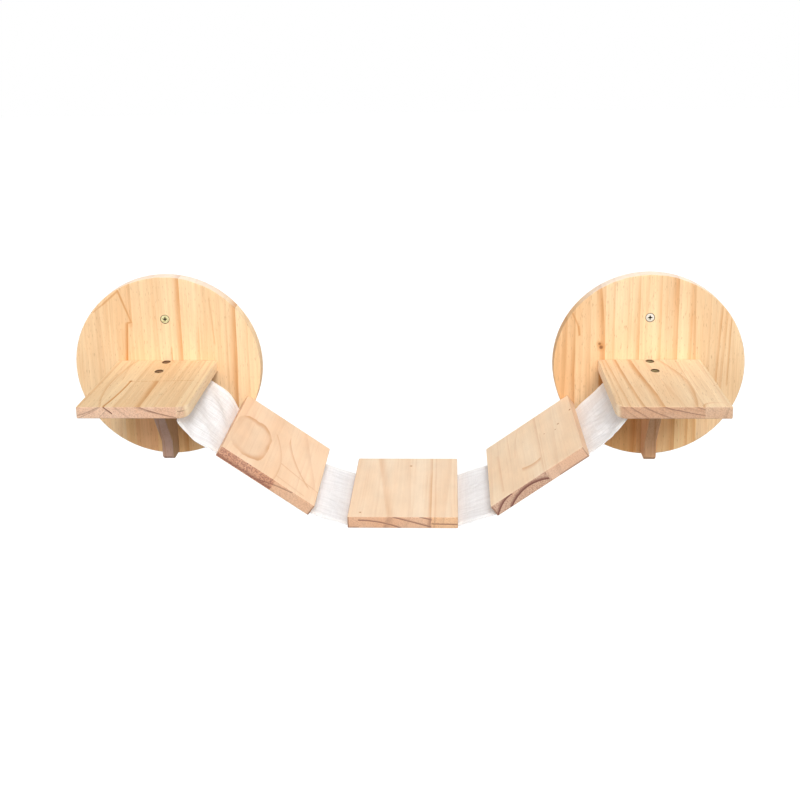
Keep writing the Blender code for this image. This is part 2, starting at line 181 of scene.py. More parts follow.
# Each board in mm from its middle: across the grain to the right, along it to the back or up, and
# out to its face.
# staves: right edge, brightness, warmth, and the tint of the end grain where it has its own.
# rings: in which stave, the place across, how far the dark line fades to its left (or, below 0,
# to its right), how dark, its drift and sweep along the grain, its lean and bend through the
# thickness, and since and until where along the grain it shows.
# ends: a line on the end grain between two places across, at a depth, its fade and how dark.
# strokes: a line on the face that crosses the grain, in the same way. ovals: a swirl round a knot.
# patches: painted shade and light below the shelf, tinting the face between two places across, and its
# tint.
# cracks: from across, along to across, along, with a width and how dark.
# knots and holes: across, along, radius. cut: the colour of hole walls under painted light, below the
# painted shade at their mouths.
# tint: over the whole piece. sides: painted light and painted shade over the faces that point across the
# grain.
# speckle and gritty: how rough the end grain is, and over which stretch across.
# streaky, flecks, cloudy: how strong they are.
plate = {"turn": uprightTurn, "face": 9, "tint": (0.995, 0.985, 1.02),
         "rim": (1.0, 0.93, 0.84, 1), "holes": [(0, 80, 6.5)]}
shelf = {"turn": flatTurn, "face": 9, "holes": [(0, 77.8, 5.8), (0, 40.9, 5.8)]}
boards = {
    "left_back_plate": {
        **plate, "seed": 3.1,
        "staves": [(-53, 0.975, 0.60), (25.6, 1.0, 0.30), (54, 1.03, 0.10),
                   (113.5, 0.99, 0.42), (None, 1.02, 0.15)],
        "rings": [
            ring(0, -53, 9, 0.34, since=70),
            ring(0, -65.5, 5, 1.1, drift=0.07, since=-20, until=71),
            ring(0, -72, 12, 0.16, drift=0.10, until=60),
            ring(0, -104, 14, 0.16, drift=-0.02),
            ring(1, 25.3, 8, 0.62),
            ring(1, -12, 11, 0.24, drift=-0.03),
            ring(1, 8.3, 2, 0.50, since=8, until=30),
            ring(1, 4.5, 4, 0.55, until=-70),
            ring(2, 29.7, 5, 0.22, until=-70),
            ring(2, 53.6, 3.5, 0.30),
            ring(2, 51.5, 6, 0.34, drift=0.04, since=10, until=85),
            ring(3, 82, 2.5, 0.34, drift=-0.075, since=40, until=112),
            ring(3, 99, 4, 0.22),
            ring(3, 111.6, 10, 0.66, drift=0.02),
            ring(3, 62, -5, 0.14),
            ring(4, 131, 8, 0.16)],
        "cracks": [(-115.6, 91.7, -98.9, 104.8, 2.0, 0.5), (-98.9, 104.8, -72.9, 127.4, 2.4, 0.6),
                   (-72.9, 127.4, -54.6, 76.0, 2.4, 0.75), (-54.6, 75.0, -61.0, 74.0, 2.6, 0.8)],
        # painted shade and light on the plate below the shelf
        "patches": [(-76, -59.7, (1.0, 0.90, 0.80)),
                    (-59.7, -25, (0.95, 0.74, 0.64)),
                    (-25, 29.7, (1.0, 0.88, 0.74)),
                    (29.7, 70, (1.0, 0.86, 0.72))],
    },
    "right_back_plate": {
        **plate, "seed": 8.7,
        "staves": [(-116, 0.93, 1.05), (-69, 0.975, 0.75), (-15.5, 1.02, 0.22),
                   (17.8, 1.045, 0.05), (44, 1.0, 0.34), (66, 1.03, 0.15),
                   (None, 0.965, 0.42)],
        "rings": [
            ring(0, -117, 6, 0.60, drift=0.02, sweep=0.0009, since=-70),
            ring(0, -131, 8, 0.35, drift=0.03),
            ring(1, -69.3, 9, 0.62, sweep=-0.0004),
            ring(1, -92, 10, 0.22, drift=-0.02),
            ring(2, -55, 5, 0.32),
            ring(2, -61, -3, 0.20, drift=0.03),
            ring(2, -16.2, 7, 0.42, drift=0.03),
            ring(2, -33, 5, 0.14),
            ring(3, 17.4, 7, 0.42, drift=0.015),
            ring(4, 43.6, 13, 0.60),
            ring(4, 27, 5, 0.16),
            ring(5, 65.6, 6, 0.50, drift=0.01),
            ring(6, 73, 6, 0.42, drift=-0.03),
            ring(6, 108, 4, 0.52, drift=0.05, since=-40, until=95),
            ring(6, 94, 8, 0.18),
            ring(6, 116, 5, 0.34, drift=0.06),
            ring(6, 125, 3, 0.50, drift=0.03, since=-30, until=75)],
        "cracks": [(-120.2, 87.0, -111.5, 66.0, 2.2, 0.6), (-111.5, 66.0, -110.0, 52.0, 2.6, 0.8)],
        # painted shade and light on the plate below the shelf
        "patches": [(-78, -16, (0.96, 0.73, 0.52)),
                    (-16, 18, (0.94, 0.76, 0.60)),
                    (18, 78, (1.04, 0.97, 0.86))],
        "knots": [(-77.5, 36.5, 3.4), (-75.2, 31, 4.2)],
    },
    "left_shelf": {
        **shelf, "seed": 12.4,
        "tint": (0.87, 0.885, 0.925), "sides": (1.18, 1.26, 1.40), "cut": (0.36, 0.19, 0.09, 1),
        "staves": [(-28, 1.0, 0.32, (1.05, 0.97, 1.12)), (64, 0.985, 0.55, (1.05, 0.97, 1.14)),
                   (None, 1.03, 0.20, (1.06, 1.0, 1.10))],
        "rings": [
            ring(0, -58.5, 4, 0.40, drift=-0.01, sweep=0.0019, lean=1.15, bend=-0.045),
            ring(0, -30.4, 2.8, 1.15, drift=0.048, sweep=-0.0008, lean=-1.1, bend=0.015, until=1),
            ring(0, -74, 7, 0.24, drift=0.01, lean=1.0),
            ring(0, -43, 3, 0.26, drift=-0.16, lean=1.1, since=10),
            ring(1, -24, -5, 0.25, drift=0.03, lean=-1.1, bend=0.01),
            ring(1, 11.5, 9, 0.62, lean=-2.0, bend=0.085, until=2),
            ring(1, 38, 5, 0.16, drift=0.05, lean=-2.6, bend=0.05),
            ring(2, 74, 4, 0.20, lean=0.4)],
        "strokes": [line(-31, 64, 4, 1.6, 0.62, slope=0.05, dotted=True)],
        "ends": [line(-47, -36, -38, 1.5, 0.35, slope=-1.35, bend=-0.004),
                 line(66.5, 78, 7.5, 1.6, 0.7),
                 line(-79, -47, -36.5, 2.2, 0.5, slope=-1.02, bend=-0.0048)],
        "knots": [(-30.6, 3.2, 2.0)],
    },
    "right_shelf": {
        **shelf, "seed": 17.9,
        "tint": (0.90, 0.935, 1.04), "sides": (1.16, 1.24, 1.38), "cut": (0.36, 0.29, 0.14, 1),
        "staves": [(42, 0.99, 0.42, (0.83, 0.70, 0.70)), (None, 1.02, 0.15, (0.90, 0.81, 0.83))],
        "rings": [
            ring(0, -64.4, 4, 0.42, drift=-0.053, lean=-1.42),
            ring(0, -48.5, 5, 0.62, drift=-0.075, sweep=0.00024, lean=-1.55, bend=0.04),
            ring(0, -22.6, 8, 0.66, drift=-0.10, lean=-2.8, bend=0.14),
            ring(0, 38.5, 6, 0.40, drift=-0.09, sweep=-0.0022, lean=-3.0),
            ring(0, -73, 4, 0.25, drift=-0.02, lean=-1.2),
            ring(0, 4, 7, 0.16, drift=-0.12, lean=-3.0, bend=0.1),
            ring(1, 76, 5, 0.18, lean=0.3)],
        "ends": [line(-79, -66, 9, 4, 0.18, slope=0.1)],
        "ovals": [dict(across=62, along=-88, wide=22, long=18, square=2.4, rim=0.55, tone=1.02)],
    },
    "left_step": {
        "turn": (0, stepTilt, 0), "face": 9, "seed": 21.3,
        "tint": (0.98, 0.955, 1.10), "speckle": 0.95, "gritty": (-90, 12),
        "streaky": 0.35, "flecks": 0.2, "cloudy": 0.05,
        "staves": [(12, 0.985, 0.30, (0.80, 0.63, 0.59)), (None, 1.01, 0.18, (0.89, 0.79, 0.75))],
        "rings": [
            ring(1, 26, 5, 0.50, drift=-0.5, sweep=0.004, lean=0.2, since=-50, until=60),
            ring(1, 60, 8, 0.16, drift=-0.3, lean=0.3),
            ring(0, 2.5, 3, 0.32, drift=-0.336, sweep=-0.003, lean=0.2, until=26),
            ring(0, -70, 7, 0.14, drift=0.05, lean=0.5)],
        "strokes": [line(11, 80, -33.5, 3, 0.42, slope=-0.2),
                    line(11, 60, -70, 3, 0.30, slope=-0.12)],
        "ends": [line(-81, 12, 15.6, 4.4, 0.66),
                 line(-20, 42, 10.6, 2.2, 0.62, slope=-0.26, bend=0.0016),
                 line(78.4, 82, 18, 30, 0.8)],
        "ovals": [dict(across=-47, along=-20, wide=31, long=51, square=3.0, rim=0.58, tone=0.965)],
    },
    "centre_step": {
        "turn": flatTurn, "face": 9, "seed": 27.6,
        "tint": (0.95, 1.01, 1.25), "streaky": 0.4, "flecks": 0.15, "cloudy": 0.05,
        "staves": [(-64, 1.0, 0.22, (0.93, 0.75, 0.66)), (41.5, 1.0, 0.25, (0.92, 0.73, 0.64)),
                   (None, 1.0, 0.34, (1.0, 0.82, 0.66))],
        "rings": [
            ring(1, -32.8, -10, 0.30, drift=-0.145, lean=0.4),
            ring(1, -33.6, 2.5, 0.24, drift=-0.145, lean=0.4),
            ring(1, 41.2, 5, 0.46, lean=0.1),
            ring(1, 8, 9, 0.12, drift=-0.05, lean=0.4),
            ring(2, 46, -3, 0.24, lean=0.1),
            ring(2, 66, 8, 0.12, drift=0.06, lean=0.2)],
        "ends": [line(-64, -2, 19.2, 2.4, 0.78, slope=0.41, bend=0.0032),
                 line(-15, 41, 4.7, 2.6, 0.80, slope=0.28),
                 line(24, 42, -5.5, 2.0, 0.8, slope=0.25),
                 line(42, 79, 10.4, 2.0, 0.80, slope=0.02),
                 line(-80, -64, 17.5, 3.0, 0.5),
                 line(-81, -78.4, 18, 30, 0.8)],
        "knots": [(6.2, 60, 1.6), (-62.4, -73.4, 1.4)],
    },
    "right_step": {
        "turn": (0, -stepTilt, 0), "face": 9, "seed": 33.2,
        "tint": (1.0, 1.05, 1.26), "speckle": 0.72, "gritty": (-90, 15.5),
        "streaky": 0.4, "flecks": 0.25, "cloudy": 0.05,
        "staves": [(15.5, 0.985, 0.26, (0.76, 0.67, 0.66)), (None, 0.99, 0.22, (0.86, 0.74, 0.71))],
        "rings": [
            ring(0, 15.2, 4, 0.26, lean=0.1),
            ring(1, 17, -2.5, 0.22, lean=0.1, until=20),
            ring(0, -28.5, 3, 0.22, drift=0.02, sweep=0.0016, lean=0.2, since=5),
            ring(0, -57.2, 4, 0.24, drift=-0.04, lean=0.2, since=-66, until=36),
            ring(0, -72, 6, 0.14, drift=0.04, lean=0.2),
            ring(1, 42, 9, 0.12, drift=0.05, lean=0.2)],
        "strokes": [line(-19, 12, -45.5, 9, 0.55, slope=0.06, bend=0.018)],
        "ends": [line(-78, -43, 25.5, 5.0, 1.0, slope=1.118, bend=0.013),
                 line(-56, 14, 7.4, 5.0, 1.0, slope=0.272, bend=0.0085),
                 line(30, 81, 17.6, 2.4, 0.75),
                 line(-81, -77.5, 18, 30, 0.7),
                 line(78.2, 81, 18, 30, 0.5)],
        "knots": [(51.5, 18.3, 1.5), (44.9, 7.0, 1.0), (77, 36.4, 1.6), (25.6, 15.3, 0.9)],
    },
    "left_brace": {
        "turn": uprightTurn, "face": 44, "seed": 41.0,
        "tint": (0.60, 0.53, 0.70), "sides": (1.04, 1.06, 0.82), "staves": [(None, 1.0, 0.3)],
        "rings": [ring(0, 2, 3, 0.4, drift=0.04, lean=0.15),
                  ring(0, -5, 2, 0.25, drift=-0.03)],
    },
    "right_brace": {
        "turn": uprightTurn, "face": 44, "seed": 47.0,
        "tint": (0.76, 0.61, 0.59), "sides": (1.4, 1.45, 1.45), "staves": [(None, 1.0, 0.4)],
        "rings": [ring(0, -3, 3, 0.5, drift=-0.05, lean=-0.15),
                  ring(0, 4, 2, 0.25, drift=0.03)],
    },
}
battenLook = {"turn": flatTurn, "face": 3, "tint": (0.98, 0.93, 1.0),
              "staves": [(None, 1.0, 0.4)],
              "rings": [ring(0, 2, 4, 0.35, drift=0.03, lean=0.4)]}
for side, sign in (("left", -1), ("right", 1)):
    boards[side + "_cloth_batten"] = dict(battenLook, seed=50 + sign)
    boards[side + "_step_batten"] = dict(battenLook, seed=56 + sign, turn=(0, -sign * stepTilt, 0))
boards["centre_step_batten"] = dict(battenLook, seed=61.0)


def courseAt(tree, by, start, slope=0.0, bend=0.0):
    # start + slope * by + bend * by * by, with the start in mm and the bend for each mm
    steep = timesPlus(tree, by, bend / mm, slope) if bend else slope
    return timesPlus(tree, by, steep, start * mm)


def inkLine(tree, gap, fade, dark):
    # dark along one side of a course and fading out on its other side
    if fade < 0:
        gap = times(tree, gap, -1.0)
    fade = 1.4 * abs(fade) * mm
    return times(tree, remap(tree, gap, -fade, 0.0, 0.0, dark),
                 remap(tree, gap, 0.0, max(0.5 * mm, 0.12 * fade), 1.0, 0.0))


def between(tree, value, low, high, soft):
    return times(tree, remap(tree, value, (low - soft) * mm, low * mm),
                 remap(tree, value, high * mm, (high + soft) * mm, 1.0, 0.0))


def shadeOf(tree, mark, across, height, soft):
    # a line between two places across, at a height that may slope and bend
    course = courseAt(tree, across, mark["at"], mark.get("slope", 0.0), mark.get("bend", 0.0))
    shade = inkLine(tree, minus(tree, height, course), mark["fade"], mark["dark"])
    return times(tree, shade, between(tree, across, mark["left"], mark["right"], soft))


def scaled(tree, colour, factor):
    return addNode(tree, "ShaderNodeVectorMath", {0: colour, "Scale": factor}, operation="SCALE").outputs[0]


def tinted(tree, colour, tint):
    return blendColours(tree, 1.0, colour, tint, "MULTIPLY")


# the wood's unevenness: how fine it is across, along and through, its own seed, detail, roughness
unevenness = {
    "wander": ((30, 9, 30), 0.0, 4, 0.5),        # slow along the grain and quicker across it
    "pulse": ((40, 14, 40), 1.0, 2, 0.5),        # how dark a ring is along its way
    "faintStrength": ((70, 4, 70), 2.0, 2, 0.5),
    "faintSpacing": ((55, 2.5, 55), 3.0, 2, 0.5),
    "warmth": ((26, 5, 26), 5.0, 2, 0.5),
    "dots": ((700, 300, 700), 6.0, 1, 0.5),      # of a dotted stroke
    "streaks": ((230, 4, 230), 7.0, 3, 0.65),
    "fibre": ((1500, 32, 1500), 9.0, 3, 0.6),
    "flecks": ((800, 100, 800), 13.0, 1, 0.5),
    "speckle": ((520, 520, 520), 17.0, 3, 0.7),
    "clouds": ((48, 30, 48), 19.0, 3, 0.5),
    "ragged": ((45, 30, 45), 21.0, 3, 0.5),      # the outline of an oval
    "patchy": ((22, 18, 22), 23.0, 1, 0.5),      # how dark its rim is
}


def woodNoise(tree, place, board, kind, output="Fac"):
    scale, ownSeed, detail, roughness = unevenness[kind]
    return grainNoise(tree, place, scale, board["seed"] + ownSeed, detail, output, roughness)


def pointing(tree, coordinates, board, way):
    # how squarely a face points along one of the board's own directions
    turned = Euler(board["turn"]).to_matrix() @ Vector(way)
    return vectorMath(tree, "DOT_PRODUCT", coordinates.outputs["Normal"], turned, output="Value")


def boardGrain(tree, name, board):
    # a point's place in its board, straight and as the lines wander, and which way its face points
    coordinates = addNode(tree, "ShaderNodeTexCoord")
    middle = [(a + b) / 2 for a, b in zip(*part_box(name))]
    inputs = {"Vector": coordinates.outputs["Object"], "Location": middle, "Rotation": board["turn"]}
    place = addNode(tree, "ShaderNodeMapping", inputs, vector_type="TEXTURE").outputs["Vector"]
    stray = woodNoise(tree, place, board, "wander", output="Color")
    centred = vectorMath(tree, "SUBTRACT", stray, (0.5, 0.5, 0.5))
    strayed = vectorMath(tree, "MULTIPLY_ADD", centred, (pineLook["wander"] * 2 * mm,) * 3, place)
    straight = addNode(tree, "ShaderNodeSeparateXYZ", {0: place}).outputs
    bent = addNode(tree, "ShaderNodeSeparateXYZ", {0: strayed}).outputs
    surface = board["face"] * mm
    sideways, lengthways = [reckon(tree, "ABSOLUTE", pointing(tree, coordinates, board, way))
                            for way in ((1, 0, 0), (0, 1, 0))]
    return SimpleNamespace(
        strayed=strayed, across=bent[0], along=bent[1], through=bent[2],
        depth=minus(tree, surface, bent[2]), flatAcross=straight[0], flatAlong=straight[1],
        flatDepth=minus(tree, surface, straight[2]),
        atSides=remap(tree, sideways, 0.6, 0.9), atEnds=remap(tree, lengthways, 0.6, 0.9),
        onFace=remap(tree, pointing(tree, coordinates, board, (0, 0, 1)), 0.4, 0.7),
        noise=lambda kind: woodNoise(tree, place, board, kind))


def staveLooks(tree, grain, board):
    # which stave a point is in, and that stave's brightness, warmth and end grain
    staves = board["staves"]
    tints = [(*(stave[3] if len(stave) > 3 else pineLook["endTint"]), 1) for stave in staves]
    brightness, warmth = staves[0][1:3]
    endTint, number = tints[0], 0.0
    for here, after, nextTint in zip(staves, staves[1:], tints[1:]):
        beyond = reckon(tree, "GREATER_THAN", grain.flatAcross, here[0] * mm)
        number = reckon(tree, "ADD", number, beyond)
        brightness = timesPlus(tree, beyond, after[1] - here[1], brightness)
        warmth = timesPlus(tree, beyond, after[2] - here[2], warmth)
        endTint = blendColours(tree, beyond, endTint, nextTint)
    return number, brightness, warmth, endTint


def ringLines(tree, grain, board, number):
    # sharp on one side of each line, fading on the other
    dark = 0.0
    for mark in board["rings"]:
        course = courseAt(tree, grain.along, mark["at"], mark.get("drift", 0.0), mark.get("sweep", 0.0))
        if "lean" in mark:
            leaning = courseAt(tree, grain.depth, 0.0, -mark["lean"], mark.get("bend", 0.0))
            course = reckon(tree, "ADD", course, leaning)
        shade = inkLine(tree, minus(tree, grain.across, course), mark["fade"], mark["dark"])
        if "since" in mark or "until" in mark:
            since, until = mark.get("since", -pastBoard), mark.get("until", pastBoard)
            shade = times(tree, shade, between(tree, grain.along, since, until, 7))
        if len(board["staves"]) > 1:
            inStave = reckon(tree, "COMPARE", number, float(mark["stave"]), 0.5)
            shade = times(tree, shade, inStave)
        dark = larger(tree, dark, shade)
    pulse = grain.noise("pulse")
    return times(tree, dark, remap(tree, pulse, 0.3, 0.7, 0.85, 1.30))


# faint rings everywhere: how many to the metre, how far their spacing varies (m), how they lean
# through the thickness, how far each stave shifts them (m), how sharp they are and how dark
faintLook = {"perMetre": 165.0, "drift": 0.016, "lean": 1.3, "shift": 0.31, "sharp": 3.0, "dark": 0.30}


def faintRings(tree, grain, number):
    slow = grain.noise("faintSpacing")
    drifted = timesPlus(tree, slow, faintLook["drift"], grain.across)
    shifted = timesPlus(tree, number, faintLook["shift"], drifted)
    ringPlace = timesPlus(tree, grain.through, faintLook["lean"], shifted)
    wave = reckon(tree, "FRACT", times(tree, ringPlace, faintLook["perMetre"]))
    uneven = grain.noise("faintStrength")
    strength = remap(tree, uneven, 0.45, 0.75, 0.0, faintLook["dark"])
    return times(tree, reckon(tree, "POWER", wave, faintLook["sharp"]), strength)


# in shares of the way out from an oval's middle: where its rim starts, is darkest and has ended,
# where its inside ends, and how ragged its outline is
ovalLook = {"rim": (0.72, 1.0, 1.05), "inside": (0.98, 1.02), "ragged": 0.09}


def ovalRims(tree, grain, board, dark):
    # a squared oval: its rim is dark, its inside has a tone of its own
    tone = 1.0
    start, darkest, end = ovalLook["rim"]
    stray = ovalLook["ragged"]
    for oval in board.get("ovals", []):
        power = oval["square"]
        sides = []
        for way, middle, half in ((grain.across, oval["across"], oval["wide"]),
                                  (grain.along, oval["along"], oval["long"])):
            off = reckon(tree, "ABSOLUTE", timesPlus(tree, way, 1 / (half * mm), -middle / half))
            sides.append(reckon(tree, "POWER", off, power))
        ragged = grain.noise("ragged")
        reach = reckon(tree, "POWER", reckon(tree, "ADD", *sides), 1 / power)
        reach = reckon(tree, "ADD", reach, remap(tree, ragged, 0.2, 0.8, -stray, stray, "LINEAR"))
        patchy = grain.noise("patchy")
        rim = times(tree, remap(tree, reach, start, darkest, 0.0, oval["rim"]),
                    remap(tree, reach, darkest, end, 1.0, 0.0))
        rim = times(tree, rim, remap(tree, patchy, 0.38, 0.60, 0.25, 1.1))
        dark = larger(tree, dark, times(tree, rim, grain.onFace))
        tone = times(tree, tone, remap(tree, reach, *ovalLook["inside"], oval["tone"], 1.0))
    return dark, tone


def crackLines(tree, grain, board, dark):
    # a short line on the face from one point to another
    for startAcross, startAlong, endAcross, endAlong, width, strength in board.get("cracks", []):
        run, rise = (endAcross - startAcross) * mm, (endAlong - startAlong) * mm
        offAcross = minus(tree, grain.across, startAcross * mm)
        offAlong = minus(tree, grain.along, startAlong * mm)
        square = run * run + rise * rise
        share = timesPlus(tree, offAcross, run / square, times(tree, offAlong, rise / square))
        share = reckon(tree, "MINIMUM", larger(tree, share, 0.0), 1.0)
        missAcross = timesPlus(tree, share, -run, offAcross)
        missAlong = timesPlus(tree, share, -rise, offAlong)
        squares = timesPlus(tree, missAcross, missAcross, times(tree, missAlong, missAlong))
        miss = reckon(tree, "SQRT", squares)
        shade = remap(tree, miss, 0.2 * width * mm, width * mm, strength, 0.0)
        dark = larger(tree, dark, times(tree, shade, grain.onFace))
    return dark


def strokeLines(tree, grain, board, dark):
    for stroke in board.get("strokes", []):
        shade = shadeOf(tree, stroke, grain.across, grain.along, 2)
        if stroke.get("dotted"):
            dots = grain.noise("dots")
            shade = times(tree, shade, remap(tree, dots, 0.42, 0.55, 0.2, 1.4))
        dark = larger(tree, dark, times(tree, shade, grain.onFace))
    return dark


def underShelfShade(tree, grain, board):
    # the tint of the whole piece, with painted shade and light tinting the face below the shelf
    tint = (*board["tint"], 1)
    for left, right, shadeTint in board.get("patches", []):
        inside = times(tree, between(tree, grain.flatAcross, left, right, 0.5),
                       between(tree, grain.flatAlong, *belowShelf, 0.5))
        tint = blendColours(tree, times(tree, inside, grain.onFace), tint, (*shadeTint, 1))
    return tint


def endGrain(tree, grain, board, plain, dark, endTint, speckle):
    # duller, pinker and speckled, with dark lines of its own
    for end in board.get("ends", []):
        dark = larger(tree, dark, shadeOf(tree, end, grain.flatAcross, grain.flatDepth, 0.6))
    left, right = board.get("gritty", (-pastBoard, pastBoard))
    calm = pineLook["calmSpeckle"]
    gritty = between(tree, grain.flatAcross, left, right, 0.5)
    rough = timesPlus(tree, gritty, board.get("speckle", pineLook["speckle"]) - calm, calm)
    spots = times(tree, remap(tree, speckle, 0.40, 0.66), rough)
    colour = blendColours(tree, spots, tinted(tree, plain, endTint), pineLook["grit"])
    return blendColours(tree, dark, colour, pineLook["endLine"])


# the halo of late wood and the knot itself: radii where each starts and is full, how strong it is
knotLook = {"lateWood": (2.2, 0.8, 0.45), "knot": (1.0, 0.35, 0.9)}


def addKnots(tree, grain, board, colour):
    for across, along, radius in board.get("knots", []):
        middle = (across * mm, along * mm, board["face"] * mm)
        away = vectorMath(tree, "DISTANCE", grain.strayed, middle, output="Value")
        for wood, (outer, inner, most) in knotLook.items():
            share = remap(tree, away, outer * radius * mm, inner * radius * mm, 0.0, most)
            colour = blendColours(tree, share, colour, pineLook[wood])
    return colour


# painted shade in each screw hole: dark at its mouth and in a ring round its edge on the face, with painted
# light on its wall further in
holeShadeLook = {
    "dark": (0.09, 0.045, 0.02, 1),
    "lit": (0.20, 0.13, 0.05, 1),
    "strength": 0.92,
    "shadeReach": (1.5, 0.4),         # mm past the hole's edge where the painted shade ends, and is full
    "litDepth": (2.0, 3.6),
    "depth": (9.0, 11.0),       # mm where it fades, so that the board's far side stays clean
}


def paintHoleShade(tree, grain, board, colour):
    outer, inner = holeShadeLook["shadeReach"]
    shallow, deep = holeShadeLook["depth"]
    for across, along, radius in board.get("holes", []):
        inputs = {0: grain.flatAcross, 1: grain.flatAlong}
        flatPlace = addNode(tree, "ShaderNodeCombineXYZ", inputs).outputs[0]
        away = vectorMath(tree, "DISTANCE", flatPlace, (across * mm, along * mm, 0), output="Value")
        # painted shade near the hole's mouth, painted light on the wall deeper in
        lit = between(tree, grain.flatDepth, *holeShadeLook["litDepth"], 0.7)
        wall = blendColours(tree, lit, holeShadeLook["dark"], board.get("cut", holeShadeLook["lit"]))
        inHole = remap(tree, away, (radius + outer) * mm, (radius + inner) * mm, 0.0, holeShadeLook["strength"])
        inHole = times(tree, inHole, remap(tree, grain.flatDepth, shallow * mm, deep * mm, 1.0, 0.0))
        colour = blendColours(tree, inHole, colour, wall)
    return colour


def pineFinish(name, board):
    finish, tree = newFinish(name + "Pine")
    grain = boardGrain(tree, name, board)
    streaky = board.get("streaky", 1.0)
    number, brightness, warmth, endTint = staveLooks(tree, grain, board)
    dark = larger(tree, ringLines(tree, grain, board, number), faintRings(tree, grain, number))
    dark, tone = ovalRims(tree, grain, board, dark)
    dark = strokeLines(tree, grain, board, crackLines(tree, grain, board, dark))

    streaks, fibre, speckle = grain.noise("streaks"), grain.noise("fibre"), grain.noise("speckle")
    broad = remap(tree, grain.noise("warmth"), 0.3, 0.7)
    warmShare = timesPlus(tree, broad, 0.34, times(tree, warmth, 0.62))
    swing = pineLook["warmSwing"] * streaky
    warmShare = reckon(tree, "ADD", warmShare, remap(tree, streaks, 0.3, 0.7, -swing, swing, "LINEAR"))
    plain = blendColours(tree, warmShare, pineLook["pale"], pineLook["honey"])
    colour = blendColours(tree, dark, plain, pineLook["lateWood"])
    flecks = pineLook["fleckDepth"] * board.get("flecks", 1.0)
    flecked = remap(tree, grain.noise("flecks"), 0.63, 0.76, 0.0, flecks)
    colour = blendColours(tree, flecked, colour, pineLook["fleck"])
    faceShade = times(tree, brightness, tone)
    for texture, swing in ((fibre, pineLook["fibreDepth"] * streaky),
                           (streaks, -pineLook["streakDepth"] * streaky),
                           (grain.noise("clouds"), board.get("cloudy", pineLook["cloudDepth"]))):
        uneven = remap(tree, texture, 0.2, 0.8, 1 - swing, 1 + swing, "LINEAR")
        faceShade = times(tree, faceShade, uneven)
    faceColour = scaled(tree, colour, faceShade)
    if "rim" in board:
        endColour = blendColours(tree, 0.5, scaled(tree, colour, brightness), board["rim"])
    else:
        # the faces across the grain get painted light or painted shade, and by default also the duller look
        # of sawn wood
        sideLightAndSawn = (*board.get("sides", pineLook["sideLightAndSawn"]), 1)
        faceColour = blendColours(tree, grain.atSides, faceColour, tinted(tree, faceColour, sideLightAndSawn))
        endColour = endGrain(tree, grain, board, plain, dark, endTint, speckle)
    colour = blendColours(tree, grain.atEnds, faceColour, endColour)
    colour = tinted(tree, colour, underShelfShade(tree, grain, board))
    colour = paintHoleShade(tree, grain, board, addKnots(tree, grain, board, colour))
    roughEnds = timesPlus(tree, grain.atEnds, speckle, fibre)
    height = timesPlus(tree, dark, -pineLook["groove"], roughEnds)
    return setLooks(finish, {
        "Base Color": colour,
        "Normal": bumpOf(tree, pineLook["bump"], pineLook["bumpDepth"], height),
        "Roughness": remap(tree, fibre, 0.2, 0.8, *pineLook["roughness"], "LINEAR"),
        "Specular IOR Level": pineLook["shine"]})


# screws: the bright colour, the dull one and the roughness of each metal
metals = {
    "yellowZinc": ((0.90, 0.88, 0.55, 1), (0.66, 0.62, 0.34, 1), (0.22, 0.42)),
    "whiteZinc": ((0.96, 0.96, 0.90, 1), (0.80, 0.80, 0.70, 1), (0.22, 0.40)),
    "dullZinc": ((0.42, 0.36, 0.22, 1), (0.22, 0.16, 0.09, 1), (0.30, 0.50)),
    "greyZinc": ((0.74, 0.75, 0.77, 1), (0.52, 0.53, 0.55, 1), (0.25, 0.45)),
}
# the recess and whatever lies deeper than the head's face is painted dark, as painted shade
screwFaces = {"wall": ((0, 1, 0), -17.45), "shelf": ((0, 0, -1), -5.2)}   # inward direction, mm along it
recessDepth = 3.2
recessShade = (0.035, 0.030, 0.022, 1)


def metalFinish(name, metal, sunk=None):
    bright, dull, roughness = metal
    finish, tree = newFinish(name)
    coordinates = addNode(tree, "ShaderNodeTexCoord").outputs["Object"]
    patches = grainNoise(tree, coordinates, (260, 260, 260), 4.0, detail=3)
    marks = grainNoise(tree, coordinates, (2400, 2400, 500), 7.0, detail=2)
    colour = blendColours(tree, remap(tree, patches, 0.40, 0.70), bright, dull)
    if sunk:
        inward, level = sunk
        deep = vectorMath(tree, "DOT_PRODUCT", coordinates, inward, output="Value")
        inRecess = between(tree, deep, level + 0.25, level + recessDepth, 0.25)
        # painted shade in the recess
        colour = blendColours(tree, inRecess, colour, recessShade)
    return setLooks(finish, {
        "Base Color": colour,
        "Roughness": remap(tree, marks, 0.3, 0.7, *roughness),
        "Normal": bumpOf(tree, 0.2, 0.05 * mm, marks),
        "Metallic": 1.0})


# cotton: threads run with the piece's own map, which is in metres
cottonLook = {
    "white": (0.965, 0.965, 0.975, 1),
    "shade": (0.80, 0.785, 0.80, 1),
    "hem": (0.99, 0.99, 0.99, 1),
    "thread": 1.3 * mm,
    "threadDepth": 0.22 * mm,
    "creaseDepth": 0.9 * mm,
    "streak": 0.45,
}


